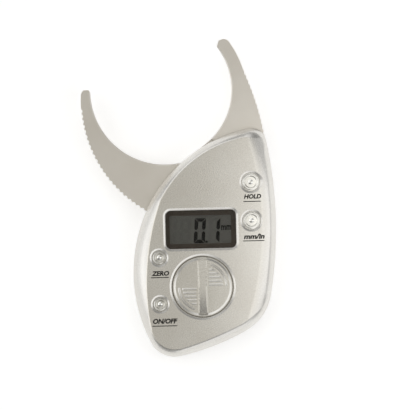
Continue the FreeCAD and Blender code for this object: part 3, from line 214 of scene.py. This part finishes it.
# %% [markdown]
# Most of the inner pieces are only seen when the housing is open: black mouldings, the circuit board, rubber contact
# strips, and small metal parts. Each still gets its own finish, because a part from a library may be opened. The
# contact strips are striped, because thin layers of conducting and plain rubber take turns along them, so their noise
# is drawn out across the strip. The metals get fine scratches along one direction.

# %% Inner mouldings
MOULDINGS = {  # light tone, dark tone, roughness, size of the patches
    "black_plastic": ((44, 44, 45), (34, 34, 36), (0.42, 0.54), 0.4),
    "chip_resin": ((26, 26, 28), (17, 17, 19), (0.24, 0.36), 1.2),
    "white_plastic": ((232, 231, 226), (222, 221, 215), (0.36, 0.48), 0.4),
}
RELIEF = 0.01  # a moulding's texture, in millimetres
for name, (light, dark, roughness, size) in MOULDINGS.items():
    mottled(name, light, dark, roughness, size, RELIEF)
mottled("board_laminate", (38, 92, 58), (28, 76, 46), (0.32, 0.44), 0.6, RELIEF, Coat_Weight=0.3)
mottled("elastomer", (196, 160, 156), (58, 52, 52), (0.66, 0.78), 0.25, RELIEF, stretch=(1, 0.01, 0.01))
print("mouldings", [*MOULDINGS, "board_laminate", "elastomer"])

# %% Inner metals
METALS = {  # light tone, dark tone, roughness
    "steel": ((196, 198, 201), (166, 168, 172), (0.23, 0.37)),
    "spring_steel": ((176, 178, 182), (140, 142, 147), (0.20, 0.34)),
    "brass": ((219, 186, 110), (196, 160, 84), (0.21, 0.35)),
    "bronze": ((188, 140, 88), (160, 112, 64), (0.27, 0.41)),
    "cell_steel": ((218, 219, 221), (200, 201, 204), (0.13, 0.27)),
    "nickel_strip": ((208, 204, 194), (186, 182, 172), (0.19, 0.33)),
}
for name, (light, dark, roughness) in METALS.items():
    mottled(name, light, dark, roughness, 0.3, 0.004, detail=5, stretch=(1, 8, 1), Metallic=1.0)
print("metals", list(METALS))

# %% [markdown]
# The disc on the jaw's hub is read by the board over it. On the real thing it is green laminate with a ring of copper
# pads like a sun's rays. The pads follow from the angle round the jaw's pivot, which is the origin, so a sine of that
# angle and a hard threshold draw them all.

# %% Sensor disc
RAYS = 48
tree, shader = new_finish("rotor_laminate", Coat_Weight=0.3)
skin = grain(tree, 0.5, detail=4)
place = add(tree, "TexCoord")
axes = add(tree, "SeparateXYZ", {"Vector": place.outputs["Object"]})
angle = add(tree, "Math", {0: axes.outputs["Y"], 1: axes.outputs["X"]}, operation="ARCTAN2")
turns = add(tree, "Math", {0: angle.outputs[0], 1: float(RAYS)}, operation="MULTIPLY")
waves = add(tree, "Math", {0: turns.outputs[0]}, operation="SINE")
pads = spread(tree, waves.outputs[0], 0, 1, start=-0.05, end=0.05)
share = spread(tree, skin, 0, 1)
green = tint(tree, share, linear(28, 76, 46), linear(38, 92, 58))
copper = tint(tree, share, linear(176, 118, 74), linear(196, 136, 88))
tree.links.new(tint(tree, pads, green, copper), shader.inputs["Base Color"])
tree.links.new(pads, shader.inputs["Metallic"])
tree.links.new(spread(tree, skin, 0.30, 0.42), shader.inputs["Roughness"])
raised(tree, shader, skin, 0.005, 0.4)
print("sensor disc with", RAYS, "pads")

# %% [markdown]
# Every node already names its material slot, so the finishes are dealt out by slot. A slot without a finish would
# stop the lesson here at once.

# %% Deal out the finishes
places = [place for piece in NODES.values() for place in piece.material_slots]
for place in places:
    place.material = FINISHES[place.material.name.split(".")[0]]
print("dressed", len(places), "slots with", len({place.material.name for place in places}), "finishes")

# %% [markdown]
# The words by the keys are pad printed: flat, slightly glossy black ink, a few hundredths of a millimetre thick, in a
# slanted sans letter with a rule under each word. Text objects made into thin closed plates give true letter shapes
# that stand just proud of the paint, which no noise could draw. The place above the window stays bare.

# %% Printing ink
INK = 0.03  # a print's thickness
mottled("black_ink", (25, 24, 22), (16, 15, 14), (0.34, 0.50), 0.12, 0.003, detail=2, Specular_IOR_Level=0.2)
print("black_ink ready,", INK, "mm thick")


# %% Flat shapes as thin plates
def plate(name, points, faces, low, high, finish, seat=None):
    """An outline in millimetres, made into a closed plate from low to high, over the seat where one is given."""
    count = len(points)
    ground = [seat(x, y) if seat else 0.0 for x, y in points]
    solid = [(x, y, g + z) for z in (low, high) for (x, y), g in zip(points, ground)]
    edges = {(a, b) for face in faces for a, b in zip(face, face[1:] + face[:1])}
    shell = [face[::-1] for face in faces] + [[v + count for v in face] for face in faces]
    shell += [[a, b, b + count, a + count] for a, b in sorted(edges) if (b, a) not in edges]
    mesh = bpy.data.meshes.new(name)
    mesh.from_pydata([tuple(c * MM for c in p) for p in solid], [], shell)
    mesh.materials.append(FINISHES[finish])
    piece = bpy.data.objects.new(name, mesh)
    bpy.context.scene.collection.objects.link(piece)
    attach(piece, "housing")


def letters(words, slant, bold):
    """The outline of the words as points and faces, from a text object that is then thrown away."""
    curve = bpy.data.curves.new("words", "FONT")
    curve.body, curve.shear, curve.resolution_u, curve.offset = words, slant, 3, bold
    writer = bpy.data.objects.new("writer", curve)
    bpy.context.scene.collection.objects.link(writer)
    bpy.context.view_layer.update()
    mesh = bpy.data.meshes.new_from_object(writer)
    welded = {}
    index = [welded.setdefault((round(v.co.x, 5), round(v.co.y, 5)), len(welded)) for v in mesh.vertices]
    faces = [[index[v] for v in p.vertices] for p in mesh.polygons]
    bpy.data.objects.remove(writer)
    bpy.data.curves.remove(curve)
    return list(welded), [face for face in faces if len(set(face)) > 2]


def fit_to(points, left, right, base, top):
    """The points stretched to fill the box."""
    xs, ys = [p[0] for p in points], [p[1] for p in points]
    wide, tall = (right - left) / (max(xs) - min(xs)), (top - base) / (max(ys) - min(ys))
    return [(left + (x - min(xs)) * wide, base + (y - min(ys)) * tall) for x, y in points]


print("plates and letters ready")

# %% Words by the keys
WORDS = {  # left, right, base, top and the rule's middle
    "hold": ("HOLD", 19.4, 27.3, 3.55, 5.65, 2.35),
    "unit": ("mm/in", 18.9, 28.4, -14.75, -12.35, -15.55),
    "zero": ("ZERO", -23.4, -15.4, -30.5, -28.3, -31.25),
    "power": ("ON/OFF", -23.3, -12.1, -52.3, -49.95, -53.3),
}
SLANT, BOLD = 0.2, 0.045
RULE = 0.38        # the width of the rule under a word
RULE_SHIFT = -0.3  # it starts this far before the word
RULE_MORE = 0.1    # and is this much longer
RULE_STEPS = 12    # its length is divided, so that it can follow the face's soft roll on the right
ABOVE = 30         # a height over everything, to feel the face from


def cover_height(x, y):
    """How high the housing's face is at this place, felt from above."""
    _, spot, _, _ = NODES["front_cover"].ray_cast(Vector((x, y, ABOVE)) * MM, Vector((0, 0, -1)))
    return spot.z / MM


for key, (words, left, right, base, top, rule) in WORDS.items():
    points, faces = letters(words, SLANT, BOLD)
    points = fit_to(points, left, right, base, top)
    start, step = len(points), (right - left + RULE_MORE) / RULE_STEPS
    for i in range(RULE_STEPS + 1):
        x = left + RULE_SHIFT + i * step
        points += [(x, rule - RULE / 2), (x, rule + RULE / 2)]
    faces += [[start + 2 * i, start + 2 * i + 2, start + 2 * i + 3, start + 2 * i + 1] for i in range(RULE_STEPS)]
    plate("word_" + key, points, faces, 0.0, INK, "black_ink", seat=cover_height)
print("words", list(WORDS))

# %% [markdown]
# The display shows its figures with seven bars each, slanted a little. A bar is a flat plate whose ends are mitred at
# the figure's corners and pointed at its waist, so that neighbouring bars meet with a thin gap and the figure keeps
# square corners. Bars that are off can still be made out on a real display, as a faint shade darker than the glass,
# and that is how the empty places on the left are told.

# %% Display finishes
mottled("bar_on", (14, 14, 14), (8, 8, 8), (0.34, 0.46), 0.2, 0.002, strength=0.3, detail=1, Specular_IOR_Level=0.02)
mottled("bar_off", (94, 94, 89), (88, 89, 84), (0.34, 0.46), 0.2, 0.002, strength=0.3, detail=1,
        Specular_IOR_Level=0.02)
print("bars ready")

# %% Shapes of the figures
DIGIT_W, DIGIT_H = 5.1, 11.3  # over the bars' outer edges
BAR = 1.6                     # a bar's width
GAP = 0.17                    # half the gap between two bars
LEAN = 0.075                  # how far a figure slants per millimetre of height
BASE_LINE = -16.05


def bar(x0, y0, x1, y1, outer, mitred):
    """A bar's outline from one end to the other. Each end is mitred towards the outer side, or pointed."""
    length, half = math.hypot(x1 - x0, y1 - y0), BAR / 2
    ux, uy = (x1 - x0) / length, (y1 - y0) / length
    outline = []
    for x, y, way, is_corner in ((x0, y0, 1, mitred[0]), (x1, y1, -1, mitred[1])):
        x, y = x + way * ux * GAP, y + way * uy * GAP
        ends = []
        for side in (way, -way):  # 1 is the left side, seen along the bar
            back = -half if is_corner and side == outer else half
            ends.append((x + way * ux * back - side * uy * half, y + way * uy * back + side * ux * half))
        outline += ends if is_corner else [ends[0], (x, y), ends[1]]
    return outline


def figure(left, wanted):
    """The outlines of a figure's wanted bars, slanted."""
    low, mid, high = BAR / 2, DIGIT_H / 2, DIGIT_H - BAR / 2
    west, east = BAR / 2, DIGIT_W - BAR / 2
    ways = {"a": (west, high, east, high, 1, (True, True)), "b": (east, mid, east, high, -1, (False, True)),
            "c": (east, low, east, mid, -1, (True, False)), "d": (west, low, east, low, -1, (True, True)),
            "e": (west, low, west, mid, 1, (True, False)), "f": (west, mid, west, high, 1, (False, True)),
            "g": (west, mid, east, mid, 1, (False, False))}
    outlines = [bar(*ways[one]) for one in wanted]
    return [[(left + x + LEAN * y, BASE_LINE + y) for x, y in line] for line in outlines]


print("a figure is", DIGIT_W, "x", DIGIT_H, "mm")

# %% Figures on the display
GLASS = 15.3                            # the display's upper face
FIRST, PITCH = -3.95, 6.55              # where the nought starts, and from one figure to the next
DOT_LEFT, DOT_LOW, DOT_RIGHT, DOT_HIGH = 1.37, 0.1, 2.37, 1.0
UNIT_BOX = (8.75, 13.35, -10.35, -8.15)  # left, right, base and top


def bars_plate(name, outlines, finish):
    points = [p for line in outlines for p in line]
    faces, start = [], 0
    for line in outlines:
        faces.append(list(range(start, start + len(line))))
        start += len(line)
    plate(name, points, faces, GLASS, GLASS + INK, finish)


dot = [(x + LEAN * y, BASE_LINE + y) for x, y in ((DOT_LEFT, DOT_LOW), (DOT_RIGHT, DOT_LOW), (DOT_RIGHT, DOT_HIGH),
                                                  (DOT_LEFT, DOT_HIGH))]
lit = figure(FIRST, "abcdef") + figure(FIRST + PITCH, "bc") + [dot]
unlit = (figure(FIRST, "g") + figure(FIRST + PITCH, "adefg") + figure(FIRST - PITCH, "abcdefg")
         + figure(FIRST - 2 * PITCH, "bc"))
bars_plate("figures_on", lit, "bar_on")
bars_plate("figures_off", unlit, "bar_off")
points, faces = letters("mm", 0.0, 0.03)
plate("display_unit", fit_to(points, *UNIT_BOX), faces, GLASS, GLASS + INK, "bar_on")
print("lit bars", len(lit), "dark bars", len(unlit))

# %% [markdown]
# Round the glass the window's underside carries a printed dark brown border, which hides the edges of the display and
# its frame. It is a flat ring: the window's rounded outline outside, a nearly sharp rectangle inside.

# %% Window border
OUTER_CORNER, INNER_CORNER = 2.4, 0.7
SHY = 0.02                                        # how much smaller than the window it is
OPEN_AT, OPEN_SIZE = (-0.25, -0.1), (28.0, 12.9)  # its opening's middle, from the window's, and its size
LIFT = 0.01                                       # it lies this far over the window's underside
mottled("brown_border", (54, 42, 26), (46, 35, 20), (0.45, 0.60), 0.2, 0.003, detail=2)


def round_box(x, y, wide, tall, radius, steps=8):
    """A rounded rectangle's points round its middle, anticlockwise from the lower right corner."""
    points = []
    for corner, (sx, sy) in enumerate(((1, -1), (1, 1), (-1, 1), (-1, -1))):
        for step in range(steps + 1):
            turn = math.radians(-90 + 90 * corner + 90 * step / steps)
            points.append((x + sx * (wide / 2 - radius) + radius * math.cos(turn),
                           y + sy * (tall / 2 - radius) + radius * math.sin(turn)))
    return points


low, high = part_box("window_lens")
middle = (low + high) / 2 / MM
wide, tall = ((high - low) / MM).xy
outer = round_box(middle.x, middle.y, wide - SHY, tall - SHY, OUTER_CORNER)
inner = round_box(middle.x + OPEN_AT[0], middle.y + OPEN_AT[1], *OPEN_SIZE, INNER_CORNER)
count = len(outer)
ring = [[i, (i + 1) % count, (i + 1) % count + count, i + count] for i in range(count)]
under = low.z / MM + LIFT
plate("window_border", outer + inner, ring, under, under + INK, "brown_border")
print("window border", round(wide, 2), "x", round(tall, 2))

# %% [markdown]
# A measuring tool is shown best from straight above and from afar, because its outline and scale then read true. A
# long lens far away gives that flat look. The view is 186 mm wide on the housing's face. The tool should lie a little
# turned in it, so the camera is turned instead and the tool stays in its frame.

# %% Camera
VIEW_CENTRE = Vector((1.64, 1.22, 17.5)) * MM
VIEW_WIDTH = 186.3 * MM
VIEW_TURN = -1.41  # degrees
LENS, SENSOR = 300.0, 36.0
camera = bpy.data.objects.new("camera", bpy.data.cameras.new("camera"))
bpy.context.scene.collection.objects.link(camera)
camera.data.lens, camera.data.sensor_width, camera.data.clip_end = LENS, SENSOR, 20.0
camera.location = VIEW_CENTRE + Vector((0, 0, VIEW_WIDTH * LENS / SENSOR))
camera.rotation_euler = (0, 0, math.radians(VIEW_TURN))
bpy.context.scene.camera = camera
print("camera height", round(camera.location.z, 3))

# %% [markdown]
# The tool lies on a plain white table. The table's own colour is a pale grey that keeps the soft shadow, and for what
# the camera, mirrors and glass see a little glow is added, so that it reads as a white ground.

# %% Table
HALF = 3        # half the table's length, in metres
DROP = 0.0002   # the table lies this much lower than the tool's back
GLOW = 0.42     # a strength of 1 is white
mesh = bpy.data.meshes.new("table_top")
mesh.from_pydata([(-HALF, -HALF, 0), (HALF, -HALF, 0), (HALF, HALF, 0), (-HALF, HALF, 0)], [], [(0, 1, 2, 3)])
table = bpy.data.objects.new("table_top", mesh)
bpy.context.scene.collection.objects.link(table)
table.location.z = -DROP
tree, shader = new_finish("table_white", Base_Color=(0.88, 0.88, 0.88, 1), Roughness=0.9)
rays = add(tree, "LightPath").outputs
seen = add(tree, "Math", {0: rays["Is Camera Ray"], 1: rays["Is Glossy Ray"]}, operation="MAXIMUM")
seen = add(tree, "Math", {0: seen.outputs[0], 1: rays["Is Transmission Ray"]}, operation="MAXIMUM")
glow = add(tree, "Emission", {"Color": (1, 1, 1, 1), "Strength": GLOW})
both = add(tree, "AddShader", {0: shader.outputs[0], 1: glow.outputs[0]})
mixed = add(tree, "MixShader", {0: seen.outputs[0], 1: shader.outputs[0], 2: both.outputs[0]})
tree.links.new(mixed.outputs[0], tree.nodes["Material Output"].inputs["Surface"])
mesh.materials.append(FINISHES["table_white"])
table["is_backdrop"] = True
print("table ready")

# %% [markdown]
# Silver shows what is round it, so the light is a tent of white cloth. Straight above, where the camera looks in, the
# cloth is a little darker and warmer than round the side. Soft patches on it make the slopes read: the strong ones
# are at the left and the far side, so every edge that faces there is bright and the ribs of the cap get a light and a
# dark side. Three low ones lift the housing's flanks.

# %% Light tent
ZENITH, WALL = 0.12, 0.25        # the cloth's brightness above and round the side
HIGH, LOW = 0.97, 0.72           # how much a direction points up, where the one ends and where the other starts
WARM, COOL = (1.0, 0.96, 0.86, 1), (0.985, 0.99, 1.0, 1)
PATCHES = {  # compass angle from +X, angle from straight above, half angle, added brightness at its middle
    "left_high": (180, 28, 22, 1.25),
    "left": (180, 56, 30, 0.85),
    "upper_left": (135, 56, 30, 1.05),
    "far": (90, 56, 30, 0.80),
    "far_high": (90, 28, 22, 0.50),
    "above": (0, 0, 18, 0.40),
    "right_high": (0, 28, 22, 0.15),
    "right": (15, 54, 26, 0.22),
    "near": (285, 56, 34, 0.10),
    "left_low": (180, 88, 38, 0.80),
    "right_low": (0, 88, 38, 0.42),
    "lower_right_low": (295, 88, 38, 0.90),
}
world = bpy.data.worlds.new("tent")
bpy.context.scene.world = world
world.use_nodes = True
tree = world.node_tree
place = add(tree, "TexCoord")
axes = add(tree, "SeparateXYZ", {"Vector": place.outputs["Generated"]})
share = add(tree, "MapRange", {"Value": axes.outputs["Z"], "From Min": LOW, "From Max": HIGH, "To Min": 1.0,
                               "To Max": 0.0}, interpolation_type="SMOOTHSTEP").outputs["Result"]
level = add(tree, "Math", {0: share, 1: WALL - ZENITH, 2: ZENITH}, operation="MULTIPLY_ADD").outputs[0]
for compass, tilt, half, change in PATCHES.values():
    turn, tilt = math.radians(compass), math.radians(tilt)
    toward = (math.cos(turn) * math.sin(tilt), math.sin(turn) * math.sin(tilt), math.cos(tilt))
    facing = add(tree, "VectorMath", {0: place.outputs["Generated"], 1: toward}, operation="DOT_PRODUCT")
    patch = add(tree, "MapRange", {"Value": facing.outputs["Value"], "From Min": math.cos(math.radians(half)),
                                   "From Max": 1.0, "To Min": 0.0, "To Max": change},
                interpolation_type="SMOOTHSTEP")
    level = add(tree, "Math", {0: level, 1: patch.outputs["Result"]}, operation="ADD").outputs[0]
sky = tree.nodes["Background"]
tree.links.new(level, sky.inputs["Strength"])
tree.links.new(tint(tree, share, WARM, COOL), sky.inputs["Color"])
print("tent from", ZENITH, "above to", WALL, "round the side, with", len(PATCHES), "patches")

# %% [markdown]
# A flat face under an even tent is one flat tone. One soft box hangs close over the right side, and because it is so
# near, its blurred reflection makes the face brighter from left to right, as under a window at that side.

# %% Soft box
BOX_AT, BOX_AIM = Vector((0.18, -0.05, 0.20)), Vector((0.14, -0.05, 0.0))
BOX_SIZE = (0.20, 0.32)  # along the tool, across it
BOX_LEVEL = 0.95         # a brightness of 1 is white
data = bpy.data.lights.new("box_right", "AREA")
data.shape, data.size, data.size_y = "RECTANGLE", BOX_SIZE[0], BOX_SIZE[1]
data.energy = BOX_LEVEL * math.pi * BOX_SIZE[0] * BOX_SIZE[1]
lamp = bpy.data.objects.new("box_right", data)
bpy.context.scene.collection.objects.link(lamp)
lamp.location = BOX_AT
lamp.rotation_euler = (BOX_AIM - BOX_AT).to_track_quat("-Z", "Y").to_euler()
lamp.visible_camera = False
print("box_right at", list(BOX_AT), "brightness", BOX_LEVEL)

# %% [markdown]
# Last, both boxes are printed: the solids' own, and that of everything that now shows.

# %% Finish
bpy.context.scene.view_settings.view_transform = "Standard"
size = {"cad": [list(p) for p in CAD_BOX], "visual": [list(p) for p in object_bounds()]}
print(size)
